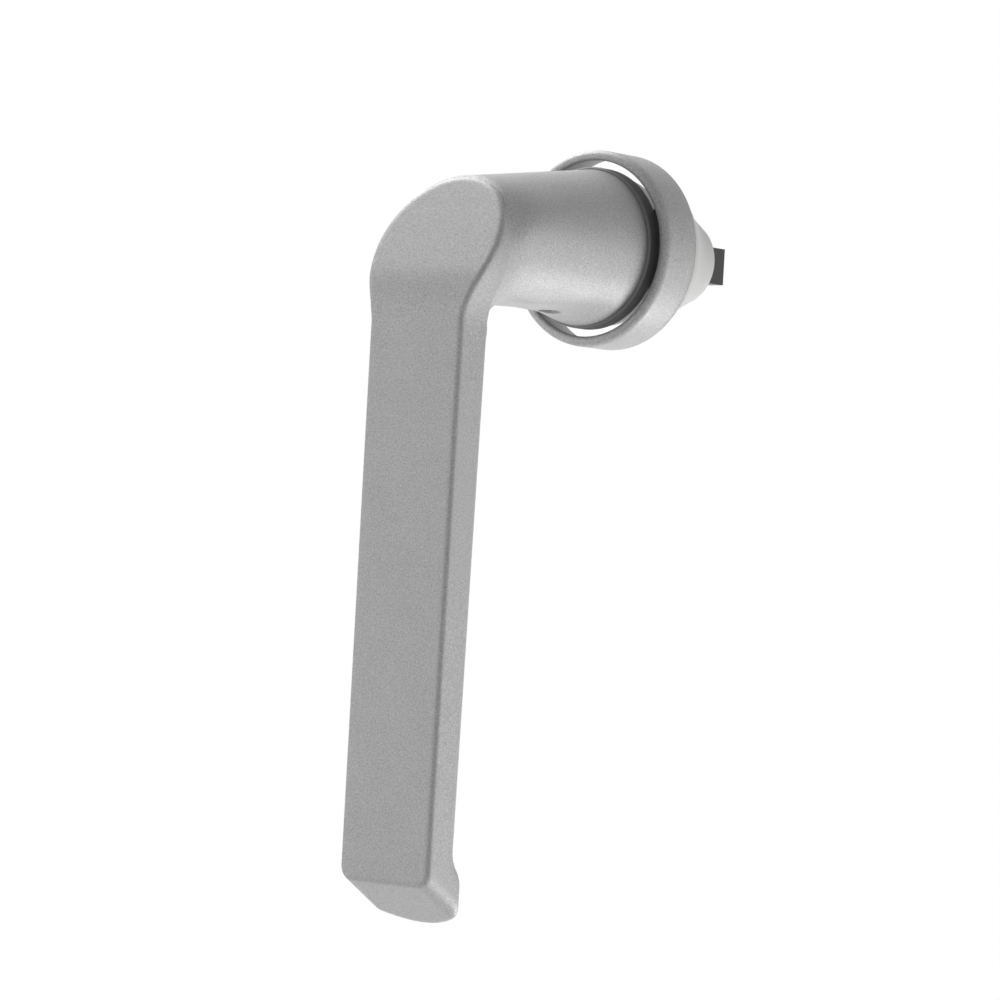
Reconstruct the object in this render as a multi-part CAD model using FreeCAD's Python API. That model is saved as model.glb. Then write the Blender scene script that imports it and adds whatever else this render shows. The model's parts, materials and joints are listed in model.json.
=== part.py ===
import FreeCAD, Part

import math
import os

from FreeCAD import Vector

# Tilt and turn window handle: a cast lever on a round rosette with a square spindle.
# Units are millimetres.  +Z is up, +Y points to the window and the grip hangs along -Z,
# which is the closed position.  The origin lies on the axis the lever turns about, in the
# plane where the rosette rests against the sash.

os.makedirs("parts", exist_ok=True)

# Fits
running_fit = 0.04
push_fit = 0.02
slide_fit = 0.3
overlap = 0.05

# Rosette ring
ring_radius = 18.5
ring_length = 9.0
ring_wall_front = 1.1
ring_wall_rear = 0.55
ring_lip_width = 1.9
ring_lip_depth = 1.0
ring_front_round = 1.3
ring_inner_round = 0.4

# Spindle and the sleeve round it
spindle_side = 7.0
spindle_chamfer = 0.8
spindle_reach = 30.4
spindle_in_neck = 30.0
spindle_play = 0.05
sleeve_radius = 6.0
sleeve_in_neck = 26.0
sleeve_chamfer = 0.4
roll_pin_radius = 1.0
roll_pin_place = 13.0

# Lever: neck
neck_radius = 14.7
neck_gap_to_ring = 1.0
neck_flat_depth = 12.7
neck_rim_round = 0.9
neck_edge_softness = 0.5
neck_corner = 1.2
flare_length = 15.0
crease_length = 22.0
crease_end_depth = 10.4
grub_radius = 2.5
grub_place = 20.5
grub_sunk = 0.6
grub_socket_depth = 2.6
grub_socket_side = 1.45

# Lever: head
head_radius = 13.2
head_drop = 4.0
lean_start = 12.2
lean_angle = 27.5
lean_blend = 20.0
head_back_start = 10.0
head_back_turn = 2.0
head_back_top = 20.0
head_back_lean = 16.0

# Lever: grip
grip_face_reach = 57.6
grip_half_width = 10.4
grip_taper = 0.45
grip_thickness = 9.1
grip_thickness_loss = 0.8
grip_back_crown = 0.6
grip_shoulder_softness = 3.5
grip_back_round = 2.4
grip_length = 118.1
face_edge_round = 0.55
underside_fillet = 8.0

# Lever: foot at the grip's lower end
foot_facet_angle = 32.0
foot_swell = 4.6
foot_crown = 3.6
foot_start = 111.5
foot_full = 118.5
foot_edge_round = 0.9

# Collar between neck and rosette
collar_radius = 15.2
collar_thickness = 3.4
collar_spigot_radius = 11.5
collar_spigot_length = 5.0
collar_edge_round = 0.5

# Carrier plate inside the ring
carrier_radius = 14.2
carrier_waist = 13.4
carrier_rear_radius = 12.9
carrier_waist_place = 1.0
carrier_shoulder_place = 3.0
carrier_ear_half_height = 7.5
carrier_floor = 2.6
carrier_cavity_radius = 9.4
carrier_boss_radius = 8.8
carrier_boss_length = 8.0

# Detent
star_radius = 9.0
star_thickness = 3.0
star_notches = 4
ball_radius = 1.2
ball_sink = 0.8
ball_cover = 0.5
spring_wire_radius = 0.22
spring_side_gap = 0.1
spring_coils = 6
plug_length = 1.4
wave_height = 0.7
wave_thickness = 0.25
wave_rim_gap = 0.6
wave_count = 3
wave_stations = 24

# Bell housing: radius and distance behind the ring
bell_core = [(12.9, 0.0), (12.4, 4.0), (12.0, 8.0), (11.2, 12.5), (10.2, 15.0), (9.4, 17.0), (8.6, 19.0), (8.1, 20.3)]
bell_wings = [(17.0, 0.0), (16.4, 3.0), (15.5, 5.0), (14.3, 7.0), (13.1, 9.0), (12.1, 11.0), (11.1, 13.0)]
bell_wing_half_height = 8.6
bell_wall = 2.2
bell_mouth_radius = 5.5
bell_hollow_radius = 6.7
bell_end_round = 0.5

# Retaining ring, thrust washer and housing screws
washer_thickness = 0.6
washer_play = 0.05
clip_thickness = 1.0
clip_radius = 7.9
clip_groove_depth = 0.6
clip_gap_half_angle = 22.0
screw_radius = 1.2
screw_head_radius = 1.9
screw_head_height = 1.4
screw_place_x = 12.4
screw_place_z = 5.0
screw_length = 5.6
screw_slot_width = 0.5
screw_slot_depth = 0.6

ring_front_y = -ring_length
ring_corner_y = ring_front_y + ring_lip_depth + ring_inner_round
neck_end_y = ring_front_y - neck_gap_to_ring
face_y = -grip_face_reach
back_y = face_y + grip_thickness - grip_back_crown
blend_start_y = back_y - grip_back_round
fillet_end_y = back_y + underside_fillet
lean_slope = math.tan(math.radians(lean_angle))
head_crown_height = head_radius - head_drop
far = 200.0
collar_rear_y = neck_end_y + collar_thickness
carrier_front_y = collar_rear_y + slide_fit
cavity_floor_y = -carrier_floor
star_front_y = collar_rear_y + push_fit
star_rear_y = star_front_y + star_thickness
ball_y = carrier_front_y + ball_cover + ball_radius
ball_place = star_radius + slide_fit + ball_radius
bell_end = bell_core[-1][1]
washer_start_y = carrier_boss_length + washer_play
washer_end_y = washer_start_y + washer_thickness
clip_end_y = washer_end_y + clip_thickness
sleeve_end_y = clip_end_y + clip_thickness
screw_seat_y = carrier_front_y + screw_head_height


def smooth_max(a, b, softness):
    """Larger of two lengths, with a soft change over."""
    return 0.5 * (a + b + math.hypot(a - b, softness))


def smooth_step(value, start, end):
    """Soft ramp from 0 at start to 1 at end."""
    t = min(1.0, max(0.0, (value - start) / (end - start)))
    return t * t * (3.0 - 2.0 * t)


def curve_through(points, closed=False):
    """One smooth edge through the points."""
    curve = Part.BSplineCurve()
    curve.interpolate(Points=points, PeriodicFlag=closed)
    return curve.toShape()


def closed_face(edges):
    """Flat face inside a closed chain of edges."""
    return Part.Face(Part.Wire(Part.__sortEdges__(edges)))


def shoulder(height, radius, half_width, softness):
    """Half width below the axis, where the head's circle runs into the grip."""
    circle = math.sqrt(max(0.0, radius ** 2 - height ** 2))
    return smooth_max(circle, half_width, softness)


def neck_form(y):
    """Radius, centre height, grip half width, softness, crown, flat and flare at one station."""
    merge = smooth_step(y, blend_start_y, fillet_end_y)
    radius = head_radius + (neck_radius - head_radius) * merge
    centre = -head_drop * (1.0 - merge)
    softness = grip_shoulder_softness * (1.0 - merge) + neck_edge_softness * merge
    inside = min(max(0.0, y - blend_start_y), grip_back_round)
    half_width = grip_half_width - overlap - grip_back_round
    half_width += math.sqrt(grip_back_round ** 2 - inside ** 2)
    rise = max(0.0, (y - back_y) / (neck_end_y - back_y))
    crown = head_crown_height - overlap + (neck_radius + overlap - head_crown_height) * rise
    along = min(max(0.0, y - back_y), underside_fillet)
    depth = neck_flat_depth + underside_fillet
    depth -= math.sqrt(underside_fillet ** 2 - (underside_fillet - along) ** 2)
    crease = max(0.0, (y - neck_end_y + crease_length) / crease_length)
    cut = depth - (neck_flat_depth - crease_end_depth) * crease
    flare = max(0.0, (y - neck_end_y + flare_length) / flare_length)
    bottom = depth + (neck_radius - neck_flat_depth) * flare ** 2
    return radius, centre, half_width, softness, crown, cut, bottom


def neck_section(y):
    """Closed outline of head and neck at one station along the axis."""
    radius, centre, half_width, softness, crown, cut, bottom = neck_form(y)
    widest = shoulder(0.0, radius, half_width, softness)
    right = []
    for i in range(9):
        angle = math.radians(90.0 * i / 9)
        right.append((widest * math.sin(angle), centre + (crown - centre) * math.cos(angle)))
    side_end = cut - neck_corner
    for i in range(12):
        z = centre - (side_end + centre) * math.sin(math.radians(90.0 * i / 11))
        right.append((shoulder(z - centre, radius, half_width, softness), z))
    start = right[-1]
    corner = (shoulder(-cut - centre, radius, half_width, softness), -cut)
    end = (corner[0] - neck_corner, -cut)
    for i in (1, 2, 3):
        t = i / 3.0
        x = (1 - t) ** 2 * start[0] + 2 * t * (1 - t) * corner[0] + t * t * end[0]
        z = (1 - t) ** 2 * start[1] + 2 * t * (1 - t) * corner[1] + t * t * end[1]
        right.append((x, z))
    for i in (2, 1, 0):
        right.append((end[0] * i / 3.0, -cut))
    share = (bottom - cut) / (neck_radius - cut) if bottom > cut else 0.0
    points = []
    for x, z in right:
        size = math.hypot(x, z)
        if z < 0 and size < neck_radius and share > 0:
            grow = 1.0 + (neck_radius / size - 1.0) * share
            x, z = x * grow, z * grow
        points.append((x, z))
    loop = [Vector(x, y, z) for x, z in points]
    loop += [Vector(-x, y, z) for x, z in reversed(points[1:-1])]
    return Part.Wire([curve_through(loop, closed=True)])


def neck_and_head_back():
    """Loft from the head's outline to the round end of the neck."""
    stations = [blend_start_y + grip_back_round * math.sin(math.radians(a)) for a in (0, 30, 60)]
    stations += [fillet_end_y - underside_fillet * math.cos(math.radians(a)) for a in range(0, 90, 18)]
    flare_y = neck_end_y - flare_length
    stations += [fillet_end_y, 0.5 * (fillet_end_y + flare_y), flare_y]
    stations += [neck_end_y - flare_length * share for share in (0.66, 0.33, 0.0)]
    return Part.makeLoft([neck_section(y) for y in stations], True, False)


def front_outline():
    """Head and grip as seen from the front."""
    widest = shoulder(0.0, head_radius, grip_half_width, grip_shoulder_softness)
    rows = [-1.25 * head_radius * i / 12 for i in range(13)]
    points = []
    for z in rows:
        points.append(Vector(shoulder(z, head_radius, grip_half_width, grip_shoulder_softness), 0, z - head_drop))
    top = Part.Ellipse(Vector(widest, 0, -head_drop), Vector(0, 0, head_crown_height), Vector(0, 0, -head_drop))
    start = points[-1]
    end = Vector(start.x - grip_taper, 0, -grip_length - 0.2 * grip_length)
    mirror = [Vector(-p.x, 0, p.z) for p in points]
    edges = [top.toShape().cut(Part.makeBox(far, far, far, Vector(-far / 2, -far / 2, -far - head_drop))).Edges[0]]
    edges += [curve_through(points), curve_through(mirror)]
    edges += [Part.makeLine(start, end), Part.makeLine(mirror[-1], Vector(-end.x, 0, end.z))]
    edges += [Part.makeLine(end, Vector(-end.x, 0, end.z))]
    return closed_face(edges)


def front_cutter():
    """Everything in front of the flat face and the leaning head."""
    low = Vector(0, face_y, -far)
    blend = lean_blend * math.tan(math.radians(lean_angle) / 2)
    first = Vector(0, face_y, -lean_start - blend)
    turn = math.radians(lean_angle)
    middle = Vector(0, face_y + lean_blend * (1 - math.cos(turn / 2)), first.z + lean_blend * math.sin(turn / 2))
    last = Vector(0, face_y + lean_blend * (1 - math.cos(turn)), first.z + lean_blend * math.sin(turn))
    high = Vector(0, last.y + 60.0 * lean_slope, last.z + 60.0)
    edges = [Part.makeLine(low, first), Part.Arc(first, middle, last).toShape(), Part.makeLine(last, high)]
    corner_high = Vector(0, face_y - far, high.z)
    corner_low = Vector(0, face_y - far, -far)
    edges += [Part.makeLine(high, corner_high), Part.makeLine(corner_high, corner_low)]
    edges += [Part.makeLine(corner_low, low)]
    return closed_face(edges).extrude(Vector(far, 0, 0)).translated(Vector(-far / 2, 0, 0))


def back_profile(x):
    """Side view of the space behind head, grip and foot, in the plane at one x."""
    bow = (x / grip_half_width) ** 2
    slope = grip_thickness_loss / foot_start
    top = face_y + grip_thickness - grip_back_crown * bow
    foot = face_y + grip_thickness - grip_thickness_loss + foot_swell - foot_crown * bow
    half = 0.5 * (foot_full - foot_start)
    below = Vector(x, foot, -1.2 * foot_full)
    end = Vector(x, foot, -foot_full)
    start = Vector(x, top - grip_thickness_loss, -foot_start)
    neck = Vector(x, top - slope * head_back_start, -head_back_start)
    turn = Vector(x, top + slope * head_back_turn, head_back_turn)
    high = Vector(x, top + head_back_lean, head_back_top)
    swell = Part.BezierCurve()
    swell.setPoles([end, end + Vector(0, 0, half), start - Vector(0, half * slope, half), start])
    lean = Part.BezierCurve()
    lean.setPoles([neck, turn, high])
    edges = [Part.makeLine(below, end), swell.toShape(), Part.makeLine(start, neck), lean.toShape()]
    corners = [high, Vector(x, far, high.z), Vector(x, far, below.z), below]
    edges += [Part.makeLine(corners[i], corners[i + 1]) for i in range(3)]
    return Part.Wire(edges)


def back_cutter():
    """Everything behind the crowned back of grip and foot."""
    return Part.makeLoft([back_profile(x) for x in (-18, -12, -6, 0, 6, 12, 18)], True, False)


def facet_cutter():
    """Everything below the oblique flat at the end of the grip."""
    block = Part.makeBox(far, far, far, Vector(-far / 2, 0, -far))
    block = block.translated(Vector(0, -far / 2, 0))
    block.rotate(Vector(0, 0, 0), Vector(1, 0, 0), -foot_facet_angle)
    return block.translated(Vector(0, face_y, -grip_length))


def middle(edge):
    """Point halfway along an edge."""
    return edge.valueAt(0.5 * (edge.FirstParameter + edge.LastParameter))


def on_front(point):
    """True near the flat face or the leaning head."""
    reach = face_y + max(0.0, point.z + lean_start) * lean_slope
    return abs(point.y - reach) < 0.4 and point.z > -grip_length - 0.1


def grip_and_head():
    """Front outline carried back, then cut to the faces and rounded."""
    depth = grip_thickness + head_crown_height
    body = front_outline().extrude(Vector(0, depth, 0)).translated(Vector(0, face_y, 0))
    for cutter in (back_cutter(), front_cutter(), facet_cutter()):
        body = body.cut(cutter)
    body = body.Solids[0]
    behind = face_y + 0.5 * grip_thickness
    sides = [e for e in body.Edges if abs(middle(e).x) > 0.8 * grip_half_width]
    back = [e for e in sides if middle(e).y > behind and middle(e).z < -head_back_start]
    body = body.makeFillet(grip_back_round, back)
    low = [e for e in body.Edges if middle(e).z < -grip_length - 0.5]
    tip = [e for e in low if abs(middle(e).x) < 1.0 and middle(e).z < -grip_length - 4.0]
    rims = [e for e in low if abs(middle(e).x) > 0.8 * grip_half_width and middle(e).y < behind + 2.0]
    body = body.makeFillet(foot_edge_round, tip + rims)
    front = [e for e in body.Edges if on_front(middle(e))]
    front = [e for e in front if abs(middle(e).x) > 1.0 or not -grip_length + 1.0 < middle(e).z < 5.0]
    return body.makeFillet(face_edge_round, front)


def lever_outside():
    """The cast lever before it is bored."""
    behind_face = front_cutter().translated(Vector(0, face_edge_round + 0.4, 0))
    neck = neck_and_head_back().cut(behind_face)
    return grip_and_head().fuse(neck).Solids[0]


def cylinder(radius, start_y, end_y, x=0.0, z=0.0):
    """Cylinder along Y between two stations."""
    return Part.makeCylinder(radius, end_y - start_y, Vector(x, start_y, z), Vector(0, 1, 0))


def tube(outer, inner, start_y, end_y):
    """Tube along Y between two stations."""
    return cylinder(outer, start_y, end_y).cut(cylinder(inner, start_y, end_y))


def square_bar(side, start_y, end_y):
    """Square bar along Y between two stations, with its flats upright and level."""
    return Part.makeBox(side, end_y - start_y, side, Vector(-side / 2, start_y, -side / 2))


def turned(points):
    """Solid turned about the Y axis from its outline in radius and y."""
    loop = [Vector(r, y, 0) for r, y in points]
    face = Part.Face(Part.makePolygon(loop + loop[:1]))
    return face.revolve(Vector(0, 0, 0), Vector(0, 1, 0), 360)


def turned_smooth(points, end_round):
    """Solid turned about the Y axis whose side runs smoothly through the points."""
    side = [Vector(r, y, 0) for r, y in points]
    base = Vector(0, points[0][1], 0)
    top = Vector(0, points[-1][1], 0)
    edges = [Part.makeLine(base, side[0]), curve_through(side), Part.makeLine(side[-1], top)]
    edges += [Part.makeLine(top, base)]
    body = closed_face(edges).revolve(Vector(0, 0, 0), Vector(0, 1, 0), 360)
    if end_round > 0:
        rim = [e for e in body.Edges if abs(e.CenterOfMass.y - top.y) < 0.01]
        body = body.makeFillet(end_round, [e for e in rim if e.Closed])
    return body


def make_lever():
    """Cast lever with its socket, sleeve bore and screw hole."""
    body = lever_outside()
    spigot = cylinder(collar_spigot_radius + push_fit, neck_end_y - collar_spigot_length, neck_end_y + 1.0)
    bore = cylinder(sleeve_radius + push_fit, -sleeve_in_neck, neck_end_y + 1.0)
    socket = square_bar(spindle_side + 2 * spindle_play, -spindle_in_neck, neck_end_y)
    hole = Part.makeCylinder(grub_radius, far, Vector(0, -grub_place, 0), Vector(0, 0, -1))
    for cutter in (spigot, bore, socket, hole):
        body = body.cut(cutter)
    return body.Solids[0]


def make_grub_screw():
    """Short headless screw that locks the neck on the sleeve."""
    low = -neck_flat_depth + grub_sunk
    high = -sleeve_radius
    body = Part.makeCylinder(grub_radius - push_fit, high - low, Vector(0, -grub_place, low))
    corners = []
    for i in range(7):
        turn = math.radians(60.0 * i)
        corners.append(Vector(math.cos(turn), math.sin(turn), 0) * grub_socket_side + Vector(0, -grub_place, low))
    socket = Part.Face(Part.makePolygon(corners)).extrude(Vector(0, 0, grub_socket_depth))
    return body.cut(socket)


def make_spindle():
    """Square bar with chamfered ends and a cross hole."""
    body = square_bar(spindle_side, -spindle_in_neck, spindle_reach)
    ends = [e for e in body.Edges if abs(middle(e).y - spindle_reach) < 0.01]
    ends += [e for e in body.Edges if abs(middle(e).y + spindle_in_neck) < 0.01]
    body = body.makeChamfer(spindle_chamfer, ends)
    return body.cut(cross_hole(roll_pin_radius + push_fit))


def cross_hole(radius):
    """Cylinder along X through sleeve and spindle."""
    return Part.makeCylinder(radius, 2 * far, Vector(-far, -roll_pin_place, 0), Vector(1, 0, 0))


def make_roll_pin():
    """Pin that ties the spindle to the sleeve, split along its length."""
    inner = cross_hole(roll_pin_radius * 0.55)
    body = cross_hole(roll_pin_radius).cut(inner)
    slot = Part.makeBox(2 * far, roll_pin_radius * 0.3, 2.0, Vector(-far, -roll_pin_place - roll_pin_radius * 0.15, 0))
    return body.cut(slot).common(cylinder(sleeve_radius - push_fit, -sleeve_in_neck, 0.0))


def make_drive_sleeve():
    """Round sleeve on the square bar: it carries the star and turns in the carrier."""
    body = cylinder(sleeve_radius, -sleeve_in_neck, sleeve_end_y)
    body = body.makeChamfer(sleeve_chamfer, [e for e in body.Edges if e.Closed])
    body = body.cut(square_bar(spindle_side + 2 * spindle_play, -far, far))
    groove = tube(sleeve_radius + 1.0, sleeve_radius - clip_groove_depth, washer_end_y, clip_end_y)
    return body.cut(groove).cut(cross_hole(roll_pin_radius + push_fit))


def make_neck_collar():
    """Black collar: a flange behind the neck and a spigot inside it."""
    outline = [
        (sleeve_radius + push_fit, neck_end_y - collar_spigot_length),
        (collar_spigot_radius, neck_end_y - collar_spigot_length),
        (collar_spigot_radius, neck_end_y),
        (collar_radius, neck_end_y),
        (collar_radius, collar_rear_y),
        (sleeve_radius + push_fit, collar_rear_y),
    ]
    body = turned(outline)
    rims = [e for e in body.Edges if e.Closed and abs(e.Curve.Radius - collar_radius) < 0.01]
    return body.makeFillet(collar_edge_round, rims)


def make_detent_star():
    """Disc with rounded notches that the balls drop into."""
    body = tube(star_radius, sleeve_radius + push_fit, star_front_y, star_rear_y)
    for i in range(star_notches):
        turn = 2.0 * math.pi * i / star_notches
        reach = star_radius - ball_sink + ball_radius + running_fit
        notch = cylinder(ball_radius + running_fit, star_front_y, star_rear_y)
        body = body.cut(notch.translated(Vector(reach * math.cos(turn), 0, reach * math.sin(turn))))
    return body


def make_wave_washer():
    """Thin springy washer with three waves behind the star."""
    inner = sleeve_radius + running_fit
    outer = star_radius - wave_rim_gap
    rings = []
    for radius in (inner, outer):
        for side in (0.0, wave_thickness):
            points = []
            for i in range(wave_stations):
                turn = 2.0 * math.pi * i / wave_stations
                lift = 0.5 * (wave_height - wave_thickness) * (1 + math.cos(wave_count * turn))
                y = cavity_floor_y - wave_height + side + lift
                points.append(Vector(radius * math.cos(turn), y, radius * math.sin(turn)))
            rings.append(curve_through(points, closed=True))
    faces = []
    for first, second in ((0, 1), (1, 3), (3, 2), (2, 0)):
        faces.append(Part.makeRuledSurface(rings[first], rings[second]))
    shell = Part.makeShell(faces)
    return Part.makeSolid(shell)


def make_retaining_ring():
    """Spring clip in the sleeve's groove, open at the bottom."""
    body = tube(clip_radius, sleeve_radius - clip_groove_depth + running_fit, washer_end_y + push_fit, clip_end_y - push_fit)
    half = math.radians(clip_gap_half_angle)
    reach = 2.0 * clip_radius
    corners = [Vector(0, 0, 0), Vector(reach * math.sin(half), 0, -reach * math.cos(half))]
    corners += [Vector(-reach * math.sin(half), 0, -reach * math.cos(half)), Vector(0, 0, 0)]
    gap = Part.Face(Part.makePolygon(corners)).extrude(Vector(0, far, 0))
    return body.cut(gap)


def make_thrust_washer():
    """Flat washer between the carrier's boss and the clip."""
    return tube(clip_radius, sleeve_radius + running_fit, washer_start_y, washer_end_y)


def make_rosette_ring():
    """Open ring with an inward lip at the front and a wall that thins to the rear."""
    lip = ring_radius - ring_lip_width
    front_wall = ring_radius - ring_wall_front
    rear_wall = ring_radius - ring_wall_rear
    outline = [
        (lip, ring_front_y),
        (ring_radius, ring_front_y),
        (ring_radius, 0.0),
        (rear_wall, 0.0),
        (front_wall, ring_corner_y),
        (front_wall - ring_inner_round, ring_front_y + ring_lip_depth),
        (lip, ring_front_y + ring_lip_depth),
    ]
    body = turned(outline)
    rims = [e for e in body.Edges if e.Closed and abs(middle(e).y - ring_front_y) < 0.01]
    outer = [e for e in rims if e.Curve.Radius > lip + 0.5]
    inner = [e for e in rims if e.Curve.Radius < lip + 0.5]
    body = body.makeFillet(ring_front_round, outer)
    inner = [e for e in body.Edges if e.Closed and abs(middle(e).y - ring_front_y) < 0.01]
    inner = [e for e in inner if e.Curve.Radius < lip + 0.2]
    return body.makeFillet(ring_inner_round, inner)


def ear_slab(half_height, start_y, end_y):
    """Block that leaves only the parts near the horizontal through the axis."""
    width = 4.0 * ring_radius
    return Part.makeBox(width, end_y - start_y, 2 * half_height, Vector(-width / 2, start_y, -half_height))


def ring_inside(y):
    """Inner radius of the rosette ring at one station."""
    share = (y - ring_corner_y) / -ring_corner_y
    return ring_radius - ring_wall_front + (ring_wall_front - ring_wall_rear) * share


def make_carrier_plate():
    """Metal plate inside the ring: ears to the ring, a pocket for the star and a rear boss."""
    gap = push_fit
    front = ring_inside(carrier_front_y) - gap
    rear = ring_inside(0.0) - gap
    ears = turned([(0, carrier_front_y), (front, carrier_front_y), (rear, 0), (0, 0)])
    body = ears.common(ear_slab(carrier_ear_half_height, carrier_front_y, 0.0))
    outline = [
        (0, carrier_front_y),
        (carrier_radius, carrier_front_y),
        (carrier_radius, -carrier_shoulder_place),
        (carrier_waist, -carrier_waist_place),
        (carrier_rear_radius, 0),
        (0, 0),
    ]
    body = body.fuse(turned(outline)).fuse(cylinder(carrier_boss_radius, -overlap, carrier_boss_length))
    body = body.cut(cylinder(carrier_cavity_radius, carrier_front_y - 1.0, cavity_floor_y))
    body = body.cut(cylinder(sleeve_radius + running_fit, -far, far))
    for side in (-1, 1):
        pocket = Part.makeCylinder(ball_radius + running_fit, far, Vector(0, ball_y, 0), Vector(side, 0, 0))
        x = side * screw_place_x
        z = side * screw_place_z
        hole = cylinder(screw_radius + running_fit, -far, far, x, z)
        recess = cylinder(screw_head_radius + running_fit, -far, screw_seat_y, x, z)
        body = body.cut(pocket).cut(hole).cut(recess)
    return body.removeSplitter().Solids[0]


def make_bell_housing():
    """Pale housing behind the carrier: two wings that run into a bell."""
    core = turned_smooth(bell_core, bell_end_round)
    wings = turned_smooth(bell_wings, 0.0)
    wings = wings.common(ear_slab(bell_wing_half_height, 0.0, bell_end))
    body = core.fuse(wings).removeSplitter()
    body = body.cut(cylinder(carrier_boss_radius + push_fit, -1.0, sleeve_end_y + slide_fit))
    body = body.cut(cylinder(bell_hollow_radius, 0.0, bell_end - bell_wall))
    body = body.cut(cylinder(bell_mouth_radius, 0.0, bell_end + 1.0))
    for side in (-1, 1):
        depth = screw_seat_y + screw_length + slide_fit
        body = body.cut(cylinder(screw_radius + push_fit, -1.0, depth, side * screw_place_x, side * screw_place_z))
    return body.Solids[0]


def make_housing_screw(side):
    """Small cheese-head screw that holds the bell housing on the carrier."""
    x = side * screw_place_x
    z = side * screw_place_z
    top = carrier_front_y + push_fit
    body = cylinder(screw_head_radius, top, screw_seat_y, x, z)
    body = body.fuse(cylinder(screw_radius, screw_seat_y - push_fit, screw_seat_y + screw_length, x, z))
    slot = Part.makeBox(2 * far, screw_slot_depth, screw_slot_width, Vector(-far, top, z - screw_slot_width / 2))
    return body.cut(slot)


def make_detent_ball(side):
    """Steel ball beside the star, lifted clear of its notch."""
    return Part.makeSphere(ball_radius, Vector(side * ball_place, ball_y, 0))


def make_detent_plug(side):
    """Plug that closes the spring's pocket at the ear's outer end."""
    outer = ring_inside(ball_y) - slide_fit
    start = Vector(side * (outer - plug_length), ball_y, 0)
    return Part.makeCylinder(ball_radius, plug_length, start, Vector(side, 0, 0))


def make_detent_spring(side):
    """Coil spring between ball and plug."""
    inner = ball_place + ball_radius + slide_fit
    outer = ring_inside(ball_y) - slide_fit - plug_length - slide_fit
    coil_radius = ball_radius - spring_wire_radius - spring_side_gap
    height = outer - inner - 2 * spring_wire_radius
    helix = Part.makeHelix(height / spring_coils, height, coil_radius)
    wire = Part.Wire([Part.makeCircle(spring_wire_radius, Vector(coil_radius, 0, 0), Vector(0, 1, 0))])
    coil = Part.Wire(helix.Edges).makePipeShell([wire], True, True)
    coil.rotate(Vector(0, 0, 0), Vector(0, 1, 0), 90.0 * side)
    return coil.translated(Vector(side * (inner + spring_wire_radius), ball_y, 0))


parts = {
    "lever": make_lever,
    "neck_collar": make_neck_collar,
    "drive_sleeve": make_drive_sleeve,
    "spindle": make_spindle,
    "roll_pin": make_roll_pin,
    "grub_screw": make_grub_screw,
    "detent_star": make_detent_star,
    "wave_washer": make_wave_washer,
    "retaining_ring": make_retaining_ring,
    "thrust_washer": make_thrust_washer,
    "carrier_plate": make_carrier_plate,
    "bell_housing": make_bell_housing,
    "rosette_ring": make_rosette_ring,
}
for name, build in parts.items():
    build().exportStep("parts/" + name + ".step")
for label, side in (("left", -1), ("right", 1)):
    make_detent_ball(side).exportStep("parts/detent_ball_" + label + ".step")
    make_detent_spring(side).exportStep("parts/detent_spring_" + label + ".step")
    make_detent_plug(side).exportStep("parts/detent_plug_" + label + ".step")
    make_housing_screw(side).exportStep("parts/housing_screw_" + label + ".step")
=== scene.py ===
# %% [markdown]
# # A window handle, dressed for a studio picture
# The solids come from a CAD model, so their sizes are already right. What this file adds
# is everything the eye reads as material: the fine sand-blasted grain of anodised
# aluminium, the black collar, the pale moulded bell and the oiled square bar, together
# with the camera, the floor and the light.

# %% Load the frame
import json

import bpy
import numpy as np
from mathutils import Matrix, Vector


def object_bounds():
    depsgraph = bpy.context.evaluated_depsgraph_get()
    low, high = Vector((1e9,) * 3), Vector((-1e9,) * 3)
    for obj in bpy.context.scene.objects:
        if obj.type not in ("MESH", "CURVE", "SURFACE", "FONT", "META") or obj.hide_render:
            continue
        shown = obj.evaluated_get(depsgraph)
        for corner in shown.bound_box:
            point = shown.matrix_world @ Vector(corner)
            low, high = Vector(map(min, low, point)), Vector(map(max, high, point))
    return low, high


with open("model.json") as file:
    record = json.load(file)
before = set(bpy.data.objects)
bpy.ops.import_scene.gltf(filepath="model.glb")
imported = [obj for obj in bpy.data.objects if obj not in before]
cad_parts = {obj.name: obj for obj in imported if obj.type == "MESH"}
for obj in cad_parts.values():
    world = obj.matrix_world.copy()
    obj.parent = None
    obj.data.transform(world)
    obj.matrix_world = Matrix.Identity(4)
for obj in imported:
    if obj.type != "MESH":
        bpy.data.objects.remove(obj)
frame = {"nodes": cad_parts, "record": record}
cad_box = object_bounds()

nodes = frame["nodes"]

# %% [markdown]
# ## The camera
# The photographer stood to the right of the handle, level with it and well back, so its
# near and far ends are drawn at almost the same scale.  A long lens does the same here.
# The camera leans a little, because the handle leans in the picture.  Its place and turn
# could be set by eye.  Here they were fitted to the handle's outline instead, since a few
# tenths of a degree already move an edge by several pixels.

# %% Camera
MM = 0.001
CAMERA_PLACE = Vector((484.4, -627.52, -63.21)) * MM
CAMERA_TURN = (1.4663, 0.5682, -0.4924)
FOCAL_PIXELS = 4194.5
FRAME_PIXELS = 1000.0
SENSOR_MM = 36.0
NEAREST, FARTHEST = 0.01, 20.0


def camera_axes(turn):
    """Rows right, down and forward of the camera, from a rotation vector.

    The angle in radians is the vector's length, and the axis is its direction.
    """
    vector = Vector(turn)
    return Matrix.Rotation(vector.length, 3, vector.normalized())


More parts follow.
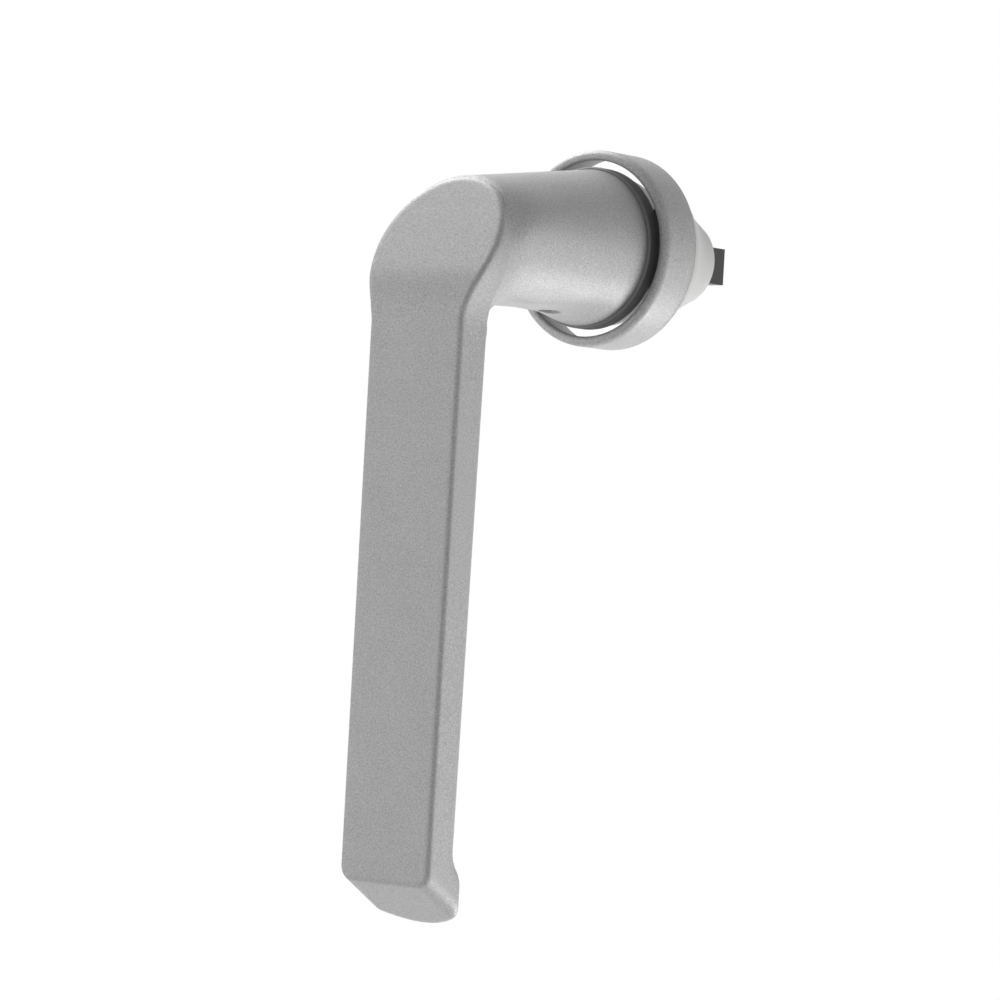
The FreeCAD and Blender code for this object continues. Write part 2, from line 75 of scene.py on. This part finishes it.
def make_camera(place, turn, focal_pixels):
    """A camera at a place whose picture is FRAME_PIXELS wide."""
    right, down, forward = camera_axes(turn)
    data = bpy.data.cameras.new("studio_camera")
    data.sensor_width = SENSOR_MM
    data.lens = focal_pixels / FRAME_PIXELS * SENSOR_MM
    data.clip_start, data.clip_end = NEAREST, FARTHEST
    camera = bpy.data.objects.new("studio_camera", data)
    bpy.context.scene.collection.objects.link(camera)
    axes = Matrix((right, -down, -forward)).transposed().to_4x4()
    camera.matrix_world = Matrix.Translation(place) @ axes
    bpy.context.scene.camera = camera
    return camera


camera = make_camera(CAMERA_PLACE, CAMERA_TURN, FOCAL_PIXELS)
print("camera at", tuple(round(v, 3) for v in camera.location), "lens", round(camera.data.lens, 1))

# %% [markdown]
# ## Helpers for materials
# A material is a small graph of nodes.  Writing each link by hand is tedious to read, so
# one helper adds a node with its values and another joins two sockets.  Every pattern is
# noise laid out in the piece's own coordinates, so it stays put when the piece turns.

# %% Material helpers


class Finish:
    """A material being built: nodes are added and linked by short calls."""

    def __init__(self, name, colour, roughness, metallic=0.0):
        self.material = bpy.data.materials.new(name)
        self.material.use_nodes = True
        self.tree = self.material.node_tree
        self.shader = self.tree.nodes["Principled BSDF"]
        self.shader.inputs["Base Color"].default_value = (*colour, 1.0)
        self.shader.inputs["Roughness"].default_value = roughness
        self.shader.inputs["Metallic"].default_value = metallic
        self.place = self.node("ShaderNodeTexCoord").outputs["Object"]

    def node(self, kind, **values):
        """Adds a node; values named after its inputs set them, others set its options."""
        made = self.tree.nodes.new(kind)
        for key, value in values.items():
            title = key.replace("_", " ").title()
            if title in made.inputs:
                made.inputs[title].default_value = value
            else:
                setattr(made, key, value)
        return made

    def join(self, source, target):
        """Links an output to an input."""
        self.tree.links.new(source, target)

    def noise(self, scale, detail=2.0, roughness=0.5, stretch=(1, 1, 1)):
        """Noise on object coordinates: scale is in waves per metre."""
        mapping = self.node("ShaderNodeMapping", scale=stretch)
        self.join(self.place, mapping.inputs["Vector"])
        noise = self.node("ShaderNodeTexNoise", scale=scale, detail=detail, roughness=roughness)
        self.join(mapping.outputs["Vector"], noise.inputs["Vector"])
        return noise.outputs["Fac"]

    def ramp(self, value, low, high, start=0.0, end=1.0):
        """Maps a value from start..end to low..high, held at both ends."""
        mapped = self.node("ShaderNodeMapRange", clamp=True,
                           from_min=start, from_max=end, to_min=low, to_max=high)
        self.join(value, mapped.inputs["Value"])
        return mapped.outputs["Result"]

    def tint(self, value, dark, light):
        """Colour that runs from dark to light as the value runs from 0 to 1."""
        mix = self.node("ShaderNodeMix", data_type="RGBA")
        first, second = [socket for socket in mix.inputs if socket.type == "RGBA"]
        first.default_value = (*dark, 1.0)
        second.default_value = (*light, 1.0)
        self.join(value, mix.inputs["Factor"])
        mixed = next(socket for socket in mix.outputs if socket.type == "RGBA")
        self.join(mixed, self.shader.inputs["Base Color"])

    def bump(self, heights, strength, distance):
        """Bump from a height value; distance is the height in metres."""
        made = self.node("ShaderNodeBump", strength=strength, distance=distance)
        self.join(heights, made.inputs["Height"])
        normal = self.shader.inputs["Normal"]
        if normal.is_linked:
            self.join(normal.links[0].from_socket, made.inputs["Normal"])
        self.join(made.outputs["Normal"], normal)


print("helpers:", [name for name in vars(Finish) if not name.startswith("_")])

# %% [markdown]
# ## Anodised aluminium
# The lever and the ring are blasted with fine grit before they are anodised.  The
# surface scatters light like chalk, with a faint metal sheen, and close up it shows a
# sandy speckle about a third of a millimetre across.  A photograph of the surface could
# be wrapped round it, but noise has no seams and never repeats.
#
# The edges catch the light as edges worn round by the grit do: the Bevel node turns the
# shading across about a millimetre and a half, and leaves the solid as it is.

# %% Aluminium finish
ALUMINIUM = (0.42, 0.42, 0.424)
SPECKLE_DARK = (0.32, 0.32, 0.324)
SPECKLE_LIGHT = (0.51, 0.51, 0.514)
SPECKLE_WAVES = 3400.0
GRAIN_WAVES = 3600.0
GRAIN_HEIGHT = 0.00006
GLOSS_WAVES = 220.0
EDGE_RADIUS = 0.0016


def anodised_aluminium():
    """Speckled colour, worn edges, fine grain and a gloss that drifts from place to place."""
    finish = Finish("anodised_aluminium", ALUMINIUM, 0.48, 0.2)
    speckle = finish.ramp(finish.noise(SPECKLE_WAVES), 0.0, 1.0, 0.3, 0.7)
    finish.tint(speckle, SPECKLE_DARK, SPECKLE_LIGHT)
    worn_edge = finish.node("ShaderNodeBevel", samples=8, radius=EDGE_RADIUS)
    finish.join(worn_edge.outputs["Normal"], finish.shader.inputs["Normal"])
    grain = finish.noise(GRAIN_WAVES, detail=3.0, roughness=0.6)
    finish.bump(grain, 0.45, GRAIN_HEIGHT)
    gloss = finish.ramp(finish.noise(GLOSS_WAVES), 0.44, 0.54)
    finish.join(gloss, finish.shader.inputs["Roughness"])
    return finish.material


finishes = {"anodised_aluminium": anodised_aluminium()}
print("made:", list(finishes))

# %% [markdown]
# ## Plastic, steel and zinc
# The collar is black plastic, the bell is a pale one, and the square bar is dark oiled
# steel.  Bright steel and cast zinc are for the mechanism inside.  They differ only in
# colour, gloss and grain, so one function makes them all, and the numbers can be read
# side by side.  The bar's grain is drawn out along its length, as the mill leaves it.

# %% Plastic, steel and zinc finishes


def grained(name, colour, roughness, metallic, grain, strength, height):
    """A plain finish with a fine bump; grain holds the arguments of the noise."""
    finish = Finish(name, colour, roughness, metallic)
    finish.bump(finish.noise(**grain), strength, height)
    return finish.material


for name, *look in (
    ("black_plastic", (0.15, 0.15, 0.152), 0.42, 0.0, dict(scale=2500.0), 0.25, 0.00003),
    ("pale_plastic", (0.52, 0.52, 0.51), 0.45, 0.0, dict(scale=1800.0), 0.2, 0.00004),
    ("dark_steel", (0.035, 0.035, 0.036), 0.38, 0.5,
     dict(scale=900.0, detail=4.0, stretch=(6, 1, 6)), 0.25, 0.00003),
    ("bright_steel", (0.5, 0.5, 0.51), 0.3, 1.0, dict(scale=1500.0, detail=3.0), 0.2, 0.00002),
    ("zinc_casting", (0.42, 0.42, 0.42), 0.5, 0.9, dict(scale=1200.0, detail=4.0), 0.4, 0.00005),
):
    finishes[name] = grained(name, *look)

for part in frame["record"]["subparts"]:
    slots = nodes[part["node"]].data.materials
    slots.clear()
    slots.append(finishes[part["material_slot"]])
print("finishes:", sorted(finishes))

# %% [markdown]
# ## The floor
# The picture has a white ground.  More light would whiten the floor, but it would bleach
# the handle too, so the floor glows for the camera and for mirrors only, and to all other
# rays it is a plain pale floor.  Below the handle the glow is weaker and the lit floor is
# added to it, so a thing that stood close to the floor would darken it.  The handle hangs
# so high above it that its own shadow is too soft to see.

# %% Floor
FLOOR_DROP = 0.45
FLOOR_HALF_SIZE = 3.0
FLOOR_COLOUR = (0.85, 0.85, 0.85, 1.0)
NEAR_GLOW = 0.62
GLOW_REACH = 1.6


def make_floor(height, half_size):
    """A flat square floor under the handle."""
    corners = np.array([(-1, -1), (1, -1), (1, 1), (-1, 1)], dtype=float) * half_size
    points = np.c_[corners, np.zeros(4)]
    mesh = bpy.data.meshes.new("studio_floor")
    mesh.from_pydata(points.tolist(), [], [(0, 1, 2, 3)])
    floor = bpy.data.objects.new("studio_floor", mesh)
    floor.location.z = height
    bpy.context.scene.collection.objects.link(floor)
    return floor


def show_to_camera(tree, seen_shader, lit_shader, output):
    """Gives one shader to camera, mirror and glass rays, and the other to the rest."""
    path = tree.nodes.new("ShaderNodeLightPath")
    seen = path.outputs["Is Camera Ray"]
    for name in ("Is Glossy Ray", "Is Transmission Ray"):
        either = tree.nodes.new("ShaderNodeMath")
        either.operation = "MAXIMUM"
        tree.links.new(seen, either.inputs[0])
        tree.links.new(path.outputs[name], either.inputs[1])
        seen = either.outputs[0]
    mix = tree.nodes.new("ShaderNodeMixShader")
    tree.links.new(seen, mix.inputs["Fac"])
    tree.links.new(lit_shader, mix.inputs[1])
    tree.links.new(seen_shader, mix.inputs[2])
    tree.links.new(mix.outputs[0], output)


def glowing_floor(tree, lit_shader, near_glow, reach):
    """The lit floor with a glow added to it.

    The glow rises from near_glow below the handle to 1 at a distance of reach metres, and
    the lamps bring the near floor back to white wherever no shadow falls.
    """
    place = tree.nodes.new("ShaderNodeTexCoord")
    distance = tree.nodes.new("ShaderNodeVectorMath")
    distance.operation = "LENGTH"
    tree.links.new(place.outputs["Object"], distance.inputs[0])
    strength = tree.nodes.new("ShaderNodeMapRange")
    strength.inputs["From Max"].default_value = reach
    strength.inputs["To Min"].default_value = near_glow
    tree.links.new(distance.outputs["Value"], strength.inputs["Value"])
    glow = tree.nodes.new("ShaderNodeEmission")
    tree.links.new(strength.outputs["Result"], glow.inputs["Strength"])
    both = tree.nodes.new("ShaderNodeAddShader")
    tree.links.new(lit_shader, both.inputs[0])
    tree.links.new(glow.outputs[0], both.inputs[1])
    return both.outputs[0]


floor = make_floor(cad_box[0].z - FLOOR_DROP, FLOOR_HALF_SIZE)
floor_material = bpy.data.materials.new("studio_floor")
floor_material.use_nodes = True
floor_tree = floor_material.node_tree
floor_shader = floor_tree.nodes["Principled BSDF"]
floor_shader.inputs["Base Color"].default_value = FLOOR_COLOUR
pale_floor = floor_shader.outputs[0]
show_to_camera(floor_tree, glowing_floor(floor_tree, pale_floor, NEAR_GLOW, GLOW_REACH),
               pale_floor, floor_tree.nodes["Material Output"].inputs["Surface"])
floor.data.materials.append(floor_material)
print("floor at", round(floor.location.z, 4))

# %% [markdown]
# ## The light
# A large lamp at the front left lights the face, one high on the left lights the top, a
# low one at the back draws the bright band under the neck, and one far right fills the
# side.  Between them the face's right edge stays dim, as it does in the picture.  A lit
# surround would be simpler, but it would flatten the neck.  The sum is a plain level, at
# which a colour looks about as it is written.

# %% World and lamps
SKY_STRENGTH = 0.2
AIM = (0.0, -0.03, -0.05)

world = bpy.data.worlds.new("studio_world")
bpy.context.scene.world = world
world.use_nodes = True
world_tree = world.node_tree
sky = world_tree.nodes["Background"]
sky.inputs["Color"].default_value = (1.0, 1.0, 1.0, 1.0)
sky.inputs["Strength"].default_value = SKY_STRENGTH
white = world_tree.nodes.new("ShaderNodeEmission")
show_to_camera(world_tree, white.outputs[0], sky.outputs[0],
               world_tree.nodes["World Output"].inputs["Surface"])


def make_lamp(name, place, size, power):
    """A square area lamp that looks at AIM, with its size in metres and power in watts."""
    data = bpy.data.lights.new(name, "AREA")
    data.size = size
    data.energy = power
    lamp = bpy.data.objects.new(name, data)
    lamp.visible_camera = False
    bpy.context.scene.collection.objects.link(lamp)
    lamp.location = place
    lamp.rotation_euler = (Vector(AIM) - Vector(place)).to_track_quat("-Z", "Y").to_euler()
    return lamp


lamps = [
    make_lamp("low_back_lamp", (0.22, 0.32, -0.42), 0.24, 1.7),
    make_lamp("top_left_lamp", (-0.65, 0.10, 0.75), 0.60, 8.9),
    make_lamp("front_left_lamp", (-0.85, -0.75, 0.0), 0.90, 3.8),
    make_lamp("right_lamp", (0.88, 0.52, -0.22), 0.50, 2.3),
]
print("lamps:", {lamp.name: round(lamp.data.energy, 1) for lamp in lamps})

# %% [markdown]
# ## Finish
# The box round everything is measured at the start.  Here the colours are set to the
# Standard view, so they reach the picture without a tone curve.

# %% Finish
bpy.context.scene.view_settings.view_transform = "Standard"
